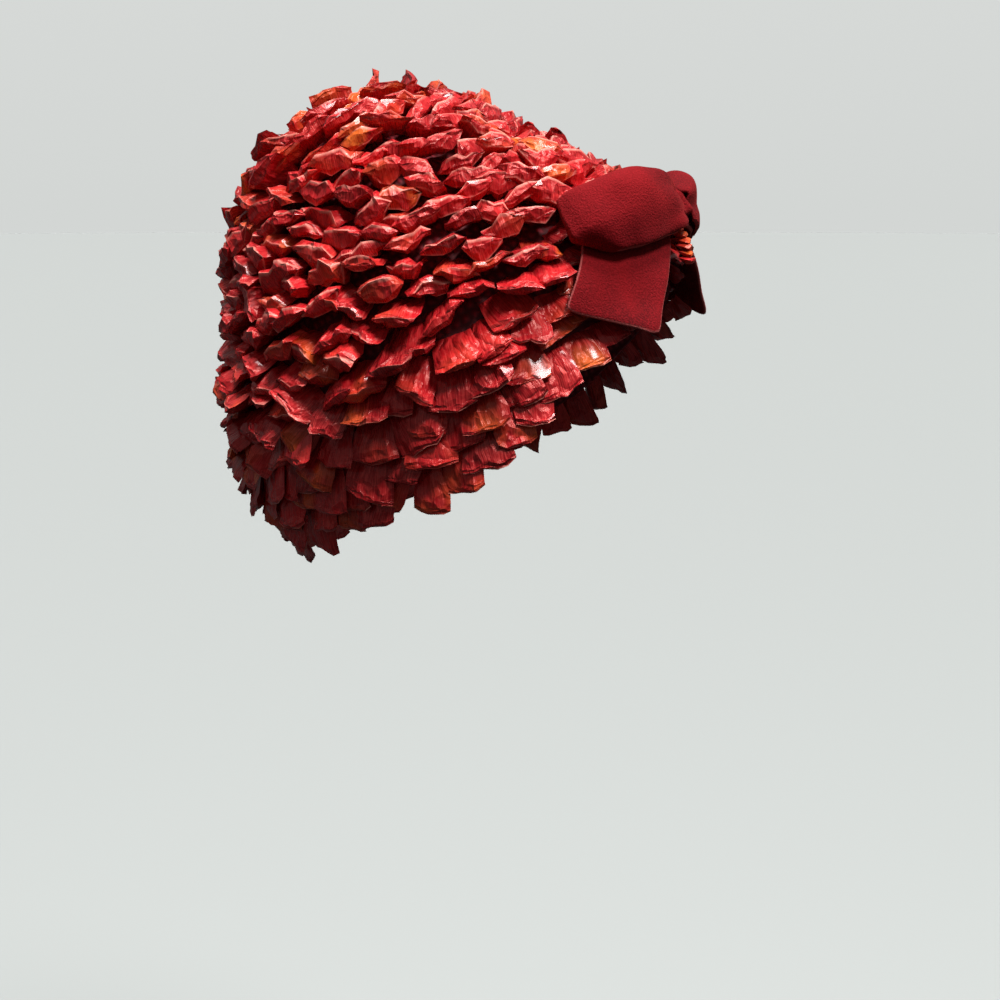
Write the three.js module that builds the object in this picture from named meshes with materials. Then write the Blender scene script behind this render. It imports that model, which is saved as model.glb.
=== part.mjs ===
import * as THREE from 'three';

// A close, tall cap covered in rows of folded raffia loops, with a velvet bow over the forehead.
// Millimetres. +Z is up as the cap is worn, +X points to the forehead and +Y to the wearer's left.
// The origin is the inside top of the crown, where the cap sits on the head.

// Cap: the rim lies in a plane that drops towards the nape by axisTilt
const headLength = 182;
const headWidth = 154;
const crownHeight = 128;
const capWall = 1.6;
const axisTilt = 32;

// Rim: its height at the nape, how far it arches up over the forehead, and how far it dips over each ear
const edgeHeight = 6;
const archRise = 15;
const archHalfAngle = 32;
const sideDip = 12;
const dipAngle = 86;
const dipSpread = 28;

// Raffia rows: loops of doubled ribbon, sewn on by their upper ends
const rowCount = 17;
const firstRowRise = 4;
const loopWidth = 15;
const loopLength = 15;
const ribbonFold = 2.1;
const seatGap = 0.35;
const lowFlare = 26;
const highFlare = 34;
const flareRise = 46;
const twist = 4.5;
const shortEdge = 0.84;
const coveredLength = 9;
const coveredFlare = 20;
const coverAngle = 60;
const coverHeight = 63;
const coverFade = 6;
const lastRowRadius = 13.2;
const rosetteRadius = 10.5;
const rosetteLoops = 7;
const rosetteFlare = 21;

// Bow: velvet on both faces, with its back lying on the tips of the loops
const velvetWall = 2.2;
const bowClearance = 0.9;
const knotHeight = 32;
const knotWidth = 13;
const knotTall = 21;
const knotDepth = 10;
const wingReach = 34;
const wingTip = 2.5;
const wingGap = 0.8;
const wingPuff = 5;
const wingCrown = 3.5;

const capSegments = 48;
const degree = Math.PI / 180;

// Crown, from below the rim plane to the top: height, half length and half width as shares of the outer sizes
const crownSections = [
  { height: -0.12, length: 0.97, width: 0.93 },
  { height: 0.0, length: 0.99, width: 0.96 },
  { height: 0.21, length: 1.0, width: 1.0 },
  { height: 0.4, length: 0.9, width: 0.94 },
  { height: 0.6, length: 0.71, width: 0.79 },
  { height: 0.74, length: 0.585, width: 0.67 },
  { height: 0.87, length: 0.45, width: 0.52 },
  { height: 0.945, length: 0.335, width: 0.38 },
  { height: 0.988, length: 0.17, width: 0.19 },
  { height: 1.0, length: 0.0, width: 0.0 },
];

// Bow loop, from the knot's edge to its tip: its place as a share of wingReach, its middle and half height as
// shares of knotHeight, and how much of its puff it has
const wingSections = [
  { along: 0.0, middle: 0.97, half: 0.22, puff: 0.3 },
  { along: 0.16, middle: 1.0, half: 0.3, puff: 0.75 },
  { along: 0.38, middle: 1.04, half: 0.36, puff: 1.0 },
  { along: 0.61, middle: 1.08, half: 0.37, puff: 1.0 },
  { along: 0.83, middle: 1.1, half: 0.34, puff: 0.75 },
  { along: 1.0, middle: 1.11, half: 0.26, puff: 0.3 },
];

// Bow tail, from under the loop to its cut end: the angle and height of its two edges, heights as shares of knotHeight
const tailSections = [
  { frontAngle: 5, frontHeight: 0.86, backAngle: 29, backHeight: 1.25 },
  { frontAngle: 12, frontHeight: 0.6, backAngle: 35, backHeight: 1.04 },
  { frontAngle: 21, frontHeight: 0.24, backAngle: 41, backHeight: 0.8 },
  { frontAngle: 31, frontHeight: -0.17, backAngle: 48, backHeight: 0.53 },
];

const raffia = new THREE.MeshStandardMaterial({ color: 0xc62531, roughness: 0.35, metalness: 0 });
const strawCloth = new THREE.MeshStandardMaterial({ color: 0x8e1420, roughness: 0.7, metalness: 0 });
const velvet = new THREE.MeshStandardMaterial({ color: 0xa80f1a, roughness: 0.95, metalness: 0 });
for (const material of [raffia, strawCloth, velvet]) {
  material.flatShading = true;
  material.side = THREE.DoubleSide;
}

const halfLength = headLength / 2 + capWall;
const halfWidth = headWidth / 2 + capWall;
const outerHeight = crownHeight + capWall;

// The crown's outer face as samples along its meridian, from the top down
function meridian() {
  const points = crownSections.map(
    (row) => new THREE.Vector3(row.length * halfLength, row.width * halfWidth, row.height * outerHeight));
  const samples = new THREE.CatmullRomCurve3(points, false, 'centripetal').getPoints(300).reverse();
  let distance = 0;
  return samples.map((point, index) => {
    const before = samples[Math.max(index - 1, 0)];
    const radiusStep = (point.x + point.y - before.x - before.y) / 2;
    distance += Math.hypot(radiusStep, point.z - before.z);
    return { length: point.x, width: point.y, height: point.z, distance };
  });
}

const crown = meridian();

// The crown's sizes where one of its columns, 'distance' or 'height', has a given value
function crownAt(column, value) {
  const falling = column === 'height';
  let next = crown.findIndex((row) => (falling ? row.height <= value : row.distance >= value));
  if (next < 0) {
    next = crown.length - 1;
  }
  next = Math.max(next, 1);
  const low = crown[next - 1];
  const high = crown[next];
  const share = (value - low[column]) / (high[column] - low[column]);
  const mixed = {};
  for (const name of ['length', 'width', 'height', 'distance']) {
    mixed[name] = low[name] + share * (high[name] - low[name]);
  }
  return mixed;
}

function onCrown(angle, distance) {
  const row = crownAt('distance', distance);
  return new THREE.Vector3(row.length * Math.cos(angle), row.width * Math.sin(angle), row.height);
}

// The directions at a point of the crown: out of its face, and down its meridian
function directions(angle, distance) {
  const step = 0.4;
  const reach = Math.max(distance, 2 * step);
  const down = onCrown(angle, reach + step).sub(onCrown(angle, reach - step)).normalize();
  const row = crownAt('distance', reach);
  const round = new THREE.Vector3(-row.length * Math.sin(angle), row.width * Math.cos(angle), 0);
  const out = new THREE.Vector3().crossVectors(down, round).normalize();
  return { out, down };
}

// A point off the crown: so far out of its face, and so far down along it
function offCrown(angle, distance, stand, drop = 0) {
  const { out, down } = directions(angle, distance);
  return onCrown(angle, distance).addScaledVector(out, stand).addScaledVector(down, drop);
}

function distanceAt(height) {
  return crownAt('height', height).distance;
}

// The height of the rim's edge at an angle from the forehead
function rimHeight(angle) {
  const fromFront = Math.abs(Math.atan2(Math.sin(angle), Math.cos(angle))) / degree;
  const arch = fromFront < archHalfAngle ? Math.cos(((fromFront / archHalfAngle) ** 2.5 * Math.PI) / 2) : 0;
  const dip = Math.exp(-(((fromFront - dipAngle) / dipSpread) ** 2));
  return edgeHeight + archRise * arch - sideDip * dip;
}

function rimDistance(angle) {
  return distanceAt(rimHeight(angle));
}

// A closed solid from a row of stations, each a loop of points. Stations join end to end, or have flat ends.
function solidFromStations(stations, endless) {
  const count = stations[0].length;
  const positions = stations.flat().flatMap((point) => [point.x, point.y, point.z]);
  const place = (station, point) => (station % stations.length) * count + (point % count);
  const triangles = [];
  const addQuad = (a, b, c, d) => triangles.push([a, b, c], [a, c, d]);
  const last = endless ? stations.length : stations.length - 1;
  for (let station = 0; station < last; station += 1) {
    for (let point = 0; point < count; point += 1) {
      addQuad(place(station, point), place(station + 1, point),
        place(station + 1, point + 1), place(station, point + 1));
    }
  }
  if (!endless) {
    for (let point = 0; point < count / 2 - 1; point += 1) {
      const across = count - 1 - point;
      addQuad(place(0, point), place(0, point + 1), place(0, across - 1), place(0, across));
      addQuad(place(last, point), place(last, across), place(last, across - 1), place(last, point + 1));
    }
  }
  return closedGeometry(positions, triangles);
}

// A geometry without triangles of no area, turned so that its faces point out
function closedGeometry(positions, triangles) {
  const at = (index) => new THREE.Vector3().fromArray(positions, index * 3);
  const solid = triangles.filter(([a, b, c]) => {
    const [first, second, third] = [at(a), at(b), at(c)];
    return first.distanceTo(second) > 1e-4 && second.distanceTo(third) > 1e-4 && third.distanceTo(first) > 1e-4;
  });
  const volume = solid.reduce((sum, [a, b, c]) => sum + at(a).dot(at(b).cross(at(c))), 0);
  const faces = volume < 0 ? solid.map(([a, b, c]) => [a, c, b]) : solid;
  const geometry = new THREE.BufferGeometry();
  geometry.setAttribute('position', new THREE.Float32BufferAttribute(positions, 3));
  geometry.setIndex(faces.flat());
  geometry.computeVertexNormals();
  return geometry;
}

// The thin cap that carries the rows: closer rings towards the top, where it curves most
function foundationGeometry() {
  const rings = 14;
  const stations = [];
  for (let segment = 0; segment < capSegments; segment += 1) {
    const angle = (segment / capSegments) * 2 * Math.PI;
    const outside = [];
    const inside = [];
    for (let ring = 0; ring <= rings; ring += 1) {
      const distance = rimDistance(angle) * (ring / rings) ** 1.3;
      outside.push(ring === 0 ? new THREE.Vector3(0, 0, outerHeight) : offCrown(angle, distance, 0));
      inside.push(ring === 0 ? new THREE.Vector3(0, 0, crownHeight) : offCrown(angle, distance, -capWall));
    }
    stations.push([...outside, ...inside.reverse()]);
  }
  return solidFromStations(stations, true);
}

// From 0 to 1, how far the bow lies on the loops at a place and presses them down
function coverAt(angle, height) {
  const fromFront = Math.abs(Math.atan2(Math.sin(angle), Math.cos(angle))) / degree;
  const beside = THREE.MathUtils.smoothstep(coverAngle - fromFront, 0, coverFade);
  const below = THREE.MathUtils.smoothstep(coverHeight - height, 0, coverFade);
  return beside * below;
}

// How long a loop is and how far it stands out: flatter near the rim than towards the top, and under the bow
function loopForm(angle, height, side) {
  const rising = THREE.MathUtils.clamp((height - flareRise) / flareRise, 0, 1);
  const open = lowFlare + (highFlare - lowFlare) * rising + side.lift * twist;
  const cover = coverAt(angle, height);
  const flare = open + (coveredFlare + side.lift - open) * cover;
  const length = (loopLength + (coveredLength - loopLength) * cover) * side.reach;
  return { flare: flare * degree, length };
}

// The four corners of a loop's section at one angle: two at its sewn end, and two at its free fold
function loopSection(angle, distance, flare, length, gap) {
  const { out, down } = directions(angle, distance);
  const along = down.clone().multiplyScalar(Math.cos(flare)).addScaledVector(out, Math.sin(flare));
  const up = out.clone().multiplyScalar(Math.cos(flare)).addScaledVector(down, -Math.sin(flare));
  const root = offCrown(angle, distance, gap);
  const tip = root.clone().addScaledVector(along, length);
  return [root, tip, tip.clone().addScaledVector(up, ribbonFold), root.clone().addScaledVector(up, ribbonFold)];
}

// One row round the cap: each loop is turned a little, so that it starts high and ends under the next one
function rowGeometry(rise, stagger) {
  const shareUp = rise / rowsReach;
  const middle = crownAt('distance', distanceAt(0) * (1 - shareUp));
  const girth = Math.PI * (middle.length + middle.width + loopLength);
  const loops = Math.max(Math.round(girth / loopWidth), 6);
  const stations = [];
  for (let loop = 0; loop < loops; loop += 1) {
    for (const side of [{ at: 0.08, lift: 1, reach: 1 }, { at: 0.9, lift: -1, reach: shortEdge }]) {
      const angle = ((loop + side.at + stagger) / loops) * 2 * Math.PI;
      const distance = rimDistance(angle) * (1 - shareUp);
      const halfChord = (0.82 / loops) * Math.PI;
      const gap = seatGap + Math.max(middle.length, middle.width) * (1 - Math.cos(halfChord));
      const { flare, length } = loopForm(angle, crownAt('distance', distance).height, side);
      stations.push(loopSection(angle, distance, flare, length, gap));
    }
  }
  return solidFromStations(stations, true);
}

// The strips that close the centre: loops that radiate from the top of the crown
function rosetteGeometry() {
  const stations = [];
  const top = new THREE.Vector3(0, 0, outerHeight + seatGap);
  for (let loop = 0; loop < rosetteLoops; loop += 1) {
    for (const side of [{ at: 0.08, lift: 1, reach: 1 }, { at: 0.9, lift: -1, reach: shortEdge }]) {
      const angle = ((loop + side.at) / rosetteLoops) * 2 * Math.PI;
      const flare = (rosetteFlare + side.lift * twist * 0.5) * degree;
      const reach = (rosetteRadius * side.reach) / Math.cos(flare);
      const along = new THREE.Vector3(Math.cos(angle) * Math.cos(flare), Math.sin(angle) * Math.cos(flare),
        Math.sin(flare));
      const tip = top.clone().addScaledVector(along, reach);
      const thick = new THREE.Vector3(0, 0, ribbonFold);
      stations.push([top.clone(), tip, tip.clone().add(thick), top.clone().add(thick)]);
    }
  }
  return solidFromStations(stations, true);
}

// A point of the bow: side is -1 on the wearer's right and 1 on the left
function bowPoint(side, angle, heightShare, stand) {
  return offCrown(side * angle * degree, distanceAt(heightShare * knotHeight), stand);
}

const coveredStand = coveredLength * Math.sin((coveredFlare + 1) * degree) + ribbonFold + 2 * seatGap;
const tailStand = coveredStand + bowClearance;
const wingStand = tailStand + velvetWall + bowClearance;
const knotEdge = (knotWidth / 2 + bowClearance) / (halfLength + wingStand) / degree;

// One loop of the bow: a band that goes out over the puffed front, turns at the tip and comes back along the cap
function wingGeometry(side) {
  const acrossShares = [-1, -0.55, 0, 0.55, 1];
  const layer = (row, stand, crownDrop) => acrossShares.map((across) => bowPoint(
    side, row.angle, row.middle + across * row.half, stand - crownDrop * across * across));
  const rows = wingSections.map((row) => ({ ...row, angle: knotEdge + row.along * wingReach }));
  const stations = [];
  for (const row of rows) {
    const front = wingStand + velvetWall + wingGap + wingPuff * row.puff;
    const drop = wingCrown * row.puff;
    stations.push([...layer(row, front + velvetWall, drop), ...layer(row, front, drop).reverse()]);
  }
  const lastRow = rows[rows.length - 1];
  const tip = { ...lastRow, angle: lastRow.angle + wingTip, half: lastRow.half * 0.9 };
  const innerTip = { ...tip, angle: tip.angle - wingTip / 2 };
  const middle = wingStand + velvetWall + wingGap;
  stations.push([...layer(tip, middle, 0), ...layer(innerTip, middle, 0).reverse()]);
  for (const row of [...rows].reverse()) {
    stations.push([...layer(row, wingStand, 0), ...layer(row, wingStand + velvetWall, 0).reverse()]);
  }
  return solidFromStations(stations, true);
}

// One tail of the bow: a flat strip of doubled velvet with rounded corners at its cut end
function tailGeometry(side) {
  const acrossShares = [0, 0.1, 0.35, 0.65, 0.9, 1];
  const stations = tailSections.map((row, index) => {
    const isCut = index === tailSections.length - 1;
    const point = (share, stand) => {
      const rounding = isCut ? 0.04 * Math.max(Math.abs(share - 0.5) - 0.4, 0) * 10 : 0;
      const angle = row.frontAngle + (row.backAngle - row.frontAngle) * share;
      const height = row.frontHeight + (row.backHeight - row.frontHeight) * share + rounding;
      return bowPoint(side, angle, height, stand);
    };
    return [
      ...acrossShares.map((share) => point(share, tailStand + velvetWall)),
      ...[...acrossShares].reverse().map((share) => point(share, tailStand)),
    ];
  });
  return solidFromStations(stations, false);
}

function addPiece(group, name, geometry, material) {
  const mesh = new THREE.Mesh(geometry, material);
  mesh.name = name;
  group.add(mesh);
  return mesh;
}

// The cap is modelled upright on its own axis, with the rim plane at height 0
const cap = new THREE.Group();
cap.position.z = -crownHeight;

addPiece(cap, 'cap_foundation', foundationGeometry(), strawCloth);

const rowsReach = distanceAt(0);
const rowPitch = (rowsReach - firstRowRise - lastRowRadius) / (rowCount - 1);
for (let row = 0; row < rowCount; row += 1) {
  const rise = firstRowRise + row * rowPitch;
  const number = String(row + 1).padStart(2, '0');
  addPiece(cap, `raffia_row_${number}`, rowGeometry(rise, (row % 2) / 2), raffia);
}
addPiece(cap, 'crown_rosette', rosetteGeometry(), raffia);

for (const { side, hand } of [{ side: -1, hand: 'right' }, { side: 1, hand: 'left' }]) {
  addPiece(cap, `bow_loop_${hand}`, wingGeometry(side), velvet);
  addPiece(cap, `bow_tail_${hand}`, tailGeometry(side), velvet);
}

const knot = addPiece(cap, 'bow_knot', new THREE.SphereGeometry(1, 16, 10), velvet);
knot.scale.set(knotDepth / 2, knotWidth / 2, knotTall / 2);
knot.position.copy(bowPoint(1, 0, 1, tailStand + knotDepth / 2));
const knotOut = directions(0, distanceAt(knotHeight)).out;
knot.rotation.y = -Math.atan2(knotOut.z, knotOut.x);

const part = new THREE.Group();
part.rotation.y = -axisTilt * degree;
part.add(cap);

export default part;
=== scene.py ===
import math
import random

import bmesh
import bpy
from mathutils import Matrix, Vector, noise


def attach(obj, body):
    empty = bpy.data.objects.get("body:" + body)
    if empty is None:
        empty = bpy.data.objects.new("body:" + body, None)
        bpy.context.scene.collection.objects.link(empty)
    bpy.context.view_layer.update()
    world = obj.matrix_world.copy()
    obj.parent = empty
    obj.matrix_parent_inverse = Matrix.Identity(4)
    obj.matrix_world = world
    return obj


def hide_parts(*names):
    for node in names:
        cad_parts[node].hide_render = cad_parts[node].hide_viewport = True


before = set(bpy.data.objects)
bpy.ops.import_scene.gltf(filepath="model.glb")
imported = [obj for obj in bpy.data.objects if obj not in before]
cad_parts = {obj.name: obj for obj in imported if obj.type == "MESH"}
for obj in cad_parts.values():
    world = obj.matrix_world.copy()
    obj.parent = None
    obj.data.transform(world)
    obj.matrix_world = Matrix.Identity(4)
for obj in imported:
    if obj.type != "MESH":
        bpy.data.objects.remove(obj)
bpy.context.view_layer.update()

# Blender's noise is offset by the clock unless it has a seed, and every run has to crease alike
NOISE_SEED = 17
noise.seed_set(NOISE_SEED)

HEAD_LENGTH = 182
HEAD_WIDTH = 154
CROWN_HEIGHT = 128
CAP_WALL = 1.6
AXIS_TILT = math.radians(32)
OUTER_LENGTH = HEAD_LENGTH / 2 + CAP_WALL
OUTER_WIDTH = HEAD_WIDTH / 2 + CAP_WALL
OUTER_HEIGHT = CROWN_HEIGHT + CAP_WALL
ON_AXIS = (
    Matrix.Scale(0.001, 4)
    @ Matrix.Rotation(-AXIS_TILT, 4, "Y")
    @ Matrix.Translation((0, 0, -CROWN_HEIGHT))
)

# Height, half length and half width of the crown, as shares of its outer sizes
CROWN_SECTIONS = [
    (-0.12, 0.97, 0.93),
    (0.0, 0.99, 0.96),
    (0.21, 1.0, 1.0),
    (0.4, 0.9, 0.94),
    (0.6, 0.71, 0.79),
    (0.74, 0.585, 0.67),
    (0.87, 0.45, 0.52),
    (0.945, 0.335, 0.38),
    (0.988, 0.17, 0.19),
    (1.0, 0.0, 0.0),
]
CROWN_SAMPLES = 300
# Millimetres up and down the crown between which its slope is measured
SLOPE_STEP = 0.4

# The rim: it rises in an arch over the forehead and dips at the sides. Angles are degrees from the forehead.
EDGE_HEIGHT = 6
ARCH_RISE = 15
ARCH_HALF_ANGLE = 32
ARCH_FLATNESS = 2.5
SIDE_DIP = 12
DIP_ANGLE = 86
DIP_SPREAD = 28

ROW_COUNT = 17
FIRST_ROW_RISE = 4
LAST_ROW_RADIUS = 13.2
ROW_MARGIN = 15
LOOP_PITCH = 11.4
FEWEST_LOOPS = 6


def curve_through(points, samples):
    """Points along the centripetal curve through the given points."""
    first = points[0] * 2 - points[1]
    last = points[-1] * 2 - points[-2]
    padded = [first, *points, last]
    made = []
    for index in range(samples + 1):
        place = (len(points) - 1) * index / samples
        start = min(int(place), len(points) - 2)
        made.append(curve_point(padded[start : start + 4], place - start))
    return made


def curve_point(four, share):
    """A point between the middle two of four points."""
    before, start, end, after = four
    gaps = [math.sqrt((b - a).length) for a, b in zip(four, four[1:])]
    leave = (start - before) / gaps[0] - (end - before) / (gaps[0] + gaps[1])
    leave = (leave + (end - start) / gaps[1]) * gaps[1]
    arrive = (end - start) / gaps[1] - (after - start) / (gaps[1] + gaps[2])
    arrive = (arrive + (after - end) / gaps[2]) * gaps[1]
    square = (end - start) * 3 - leave * 2 - arrive
    cube = (start - end) * 2 + leave + arrive
    return start + leave * share + square * share**2 + cube * share**3


def crown_meridian():
    """Rows of (half length, half width, height, distance from the top), from the top down."""
    points = [
        Vector((length * OUTER_LENGTH, width * OUTER_WIDTH, height * OUTER_HEIGHT))
        for height, length, width in CROWN_SECTIONS
    ]
    rows = []
    distance = 0
    before = None
    for point in reversed(curve_through(points, CROWN_SAMPLES)):
        if before is not None:
            inward = (point.x + point.y - before.x - before.y) / 2
            distance += math.hypot(inward, point.z - before.z)
        rows.append((point.x, point.y, point.z, distance))
        before = point
    return rows


CROWN = crown_meridian()


def crown_at(distance):
    """(half length, half width, height) of the crown at a distance down from its top."""
    step = next((i for i, row in enumerate(CROWN) if row[3] >= distance), len(CROWN) - 1)
    low = CROWN[max(step, 1) - 1]
    high = CROWN[max(step, 1)]
    share = (distance - low[3]) / (high[3] - low[3])
    return Vector(a + (b - a) * share for a, b in zip(low[:3], high[:3]))


def distance_at(height):
    """Distance down from the crown's top at a height."""
    step = next((i for i, row in enumerate(CROWN) if row[2] <= height), len(CROWN) - 1)
    low = CROWN[max(step, 1) - 1]
    high = CROWN[max(step, 1)]
    return low[3] + (high[3] - low[3]) * (height - low[2]) / (high[2] - low[2])


ROWS_REACH = distance_at(0)


def on_crown(angle, distance):
    row = crown_at(distance)
    return Vector((row.x * math.cos(angle), row.y * math.sin(angle), row.z))


def directions(angle, distance):
    """Out of the crown's face, and down its meridian."""
    reach = max(distance, 2 * SLOPE_STEP)
    below = on_crown(angle, reach + SLOPE_STEP)
    above = on_crown(angle, reach - SLOPE_STEP)
    down = (below - above).normalized()
    row = crown_at(reach)
    around = Vector((-row.x * math.sin(angle), row.y * math.cos(angle), 0))
    return down.cross(around).normalized(), down


def off_crown(angle, distance, stand):
    return on_crown(angle, distance) + directions(angle, distance)[0] * stand


def from_front(angle):
    """Degrees away from the forehead, 0 to 180."""
    return abs(math.degrees(math.atan2(math.sin(angle), math.cos(angle))))


def rim_distance(angle):
    """Distance down from the crown's top to the rim."""
    away = from_front(angle)
    arch = 0
    if away < ARCH_HALF_ANGLE:
        arch = math.cos((away / ARCH_HALF_ANGLE) ** ARCH_FLATNESS * math.pi / 2)
    dip = math.exp(-(((away - DIP_ANGLE) / DIP_SPREAD) ** 2))
    return distance_at(EDGE_HEIGHT + ARCH_RISE * arch - SIDE_DIP * dip)


def ease(value, low, high):
    """0 at low, 1 at high, and smooth between them."""
    share = min(max((value - low) / (high - low), 0), 1)
    return share * share * (3 - 2 * share)


# What the bow covers, in degrees from the forehead and millimetres of height: a tail's upper corner, its
# run down to the cut end and its span; then a loop's reach round the cap and its lower and upper edge
TAIL_CORNER = Vector((5, 27.5))
TAIL_RUN = Vector((26, -33))
TAIL_SPAN = Vector((20, 17))
WING_REACH = 42
WING_LOW = 14
WING_HIGH = 54
# How far the pressing goes past a tail and how softly it ends, as shares of the tail's span and run; then
# how softly it ends beside, under and above a loop
SPAN_ENDS = (-0.45, 1.35)
SPAN_FADE = 0.25
RUN_END = 1.05
RUN_FADE = 0.15
WING_FADE = 6
TOP_FADE = 8


def under_bow(angle, height):
    """1 where a tail or a loop of the bow presses the raffia flat, 0 away from it."""
    away = from_front(angle)
    place = Vector((away, height)) - TAIL_CORNER
    run = place.cross(TAIL_SPAN) / TAIL_RUN.cross(TAIL_SPAN)
    span = TAIL_RUN.cross(place) / TAIL_RUN.cross(TAIL_SPAN)
    near_end, far_end = SPAN_ENDS
    tail = ease(far_end - span, 0, SPAN_FADE) * ease(span, near_end, near_end + SPAN_FADE)
    tail *= ease(RUN_END - run, 0, RUN_FADE)
    wing = ease(WING_REACH - away, 0, WING_FADE) * ease(height, WING_LOW, WING_LOW + WING_FADE)
    return max(tail, wing) * ease(WING_HIGH - height, 0, TOP_FADE)


# Vertices further apart in direction than this make a crease in the pressed ribbon
CREASE_ANGLE = math.radians(27)


class Piece:
    """A mesh under construction, with the layers that its material reads."""

    def __init__(self):
        self.mesh = bmesh.new()
        self.uv = self.mesh.loops.layers.uv.new("along_ribbon")
        self.tint = self.mesh.verts.layers.float.new("tint")
        self.fade_and_glow = self.mesh.verts.layers.float.new("fade_and_glow")
        self.edge = self.mesh.verts.layers.float.new("edge")


def finish_piece(name, piece, material, *replaced, slot="raffia"):
    """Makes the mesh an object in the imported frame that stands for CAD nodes."""
    bmesh.ops.recalc_face_normals(piece.mesh, faces=piece.mesh.faces)
    if slot == "raffia":
        for edge in piece.mesh.edges:
            if len(edge.link_faces) == 2 and edge.calc_face_angle() > CREASE_ANGLE:
                edge.smooth = False
    bmesh.ops.transform(piece.mesh, matrix=ON_AXIS, verts=piece.mesh.verts)
    data = bpy.data.meshes.new(name)
    for face in piece.mesh.faces:
        face.smooth = True
    piece.mesh.to_mesh(data)
    piece.mesh.free()
    made = bpy.data.objects.new(name, data)
    bpy.context.scene.collection.objects.link(made)
    made.data.materials.append(material)
    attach(made, "root")
    if replaced:
        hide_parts(*replaced)
    return made


def add_grid(piece, across, along):
    """A flat grid of one unit each way, with its new vertices and the UV of each corner still in units."""
    made = bmesh.ops.create_grid(
        piece.mesh, x_segments=across, y_segments=along, size=0.5
    )["verts"]
    for vertex in made:
        for corner in vertex.link_loops:
            corner[piece.uv].uv = (vertex.co.x + 0.5, vertex.co.y + 0.5)
    return made


def crumple(piece, size, depth, seed):
    """Moves vertices a little, as stiff ribbon creases when it is folded."""
    for vertex in piece.mesh.verts:
        at = vertex.co / size + Vector((seed, 0, 0))
        vertex.co += noise.noise_vector(at) * depth


# A loop's section from its sewn end over the top to the fold and back underneath: how far along the loop,
# and how high as a share of its puff. Both kinds meet the pinched edge, which lies at height 0.
OPEN_LOOP = [
    (0.0, 0.0),
    (0.3, 0.26),
    (0.62, 0.42),
    (0.86, 0.5),
    (0.97, 0.44),
    (1.0, 0.06),
    (0.98, -0.3),
    (0.9, -0.62),
    (0.62, -0.6),
    (0.3, -0.3),
    (0.0, 0.0),
]
FLAT_LOOP = [
    (0.0, 0.0),
    (0.3, 0.34),
    (0.62, 0.4),
    (0.86, 0.3),
    (0.96, 0.2),
    (1.0, 0.02),
    (0.97, -0.16),
    (0.88, -0.3),
    (0.62, -0.36),
    (0.3, -0.26),
    (0.0, 0.0),
]
PINCHED_EDGE = [0.0, 0.3, 0.6, 0.8, 0.88, 0.92, 0.88, 0.8, 0.6, 0.3, 0.0]
# Steps of the section at its fold and at the crease under it, and how pale that crease is painted, for its
# wear and as a painted highlight
FOLD_STEP = 5
LOWER_CREASE = 7
LOWER_WEAR_AND_HIGHLIGHT = 0.8
ACROSS_STEPS = 5
POINTED_END = 0.46
# How far along a loop its gathered end opens out to the full width
GATHER_OPENS = (-0.1, 0.72)
# Height of a fold at its peak, how much it falls to the sides, and how far the peak may lie off the middle
PEAK_HEIGHT = 1.2
PEAK_FALL = 0.5
PEAK_SHIFT = 0.6
# Slant of a loop's end, how much of it a flat loop has, and the number of pleats across the ribbon
SKEW = 0.2
FLAT_SKEW = 0.4
PLEAT_COUNTS = (1.0, 1.5, 2.0, 2.6)
# Pleats are deepest at the middle of the loop and run out beyond its end
PLEAT_END = 1.2
# Middle and spread of the dye's depth, and millimetres by which the fibres' pattern moves from loop to loop
DYE = (0.5, 0.25)
PATTERN_SHIFT = 40
# UVs of the ribbon count centimetres
UV_UNIT = 10
MERGE_DISTANCE = 0.02


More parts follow.
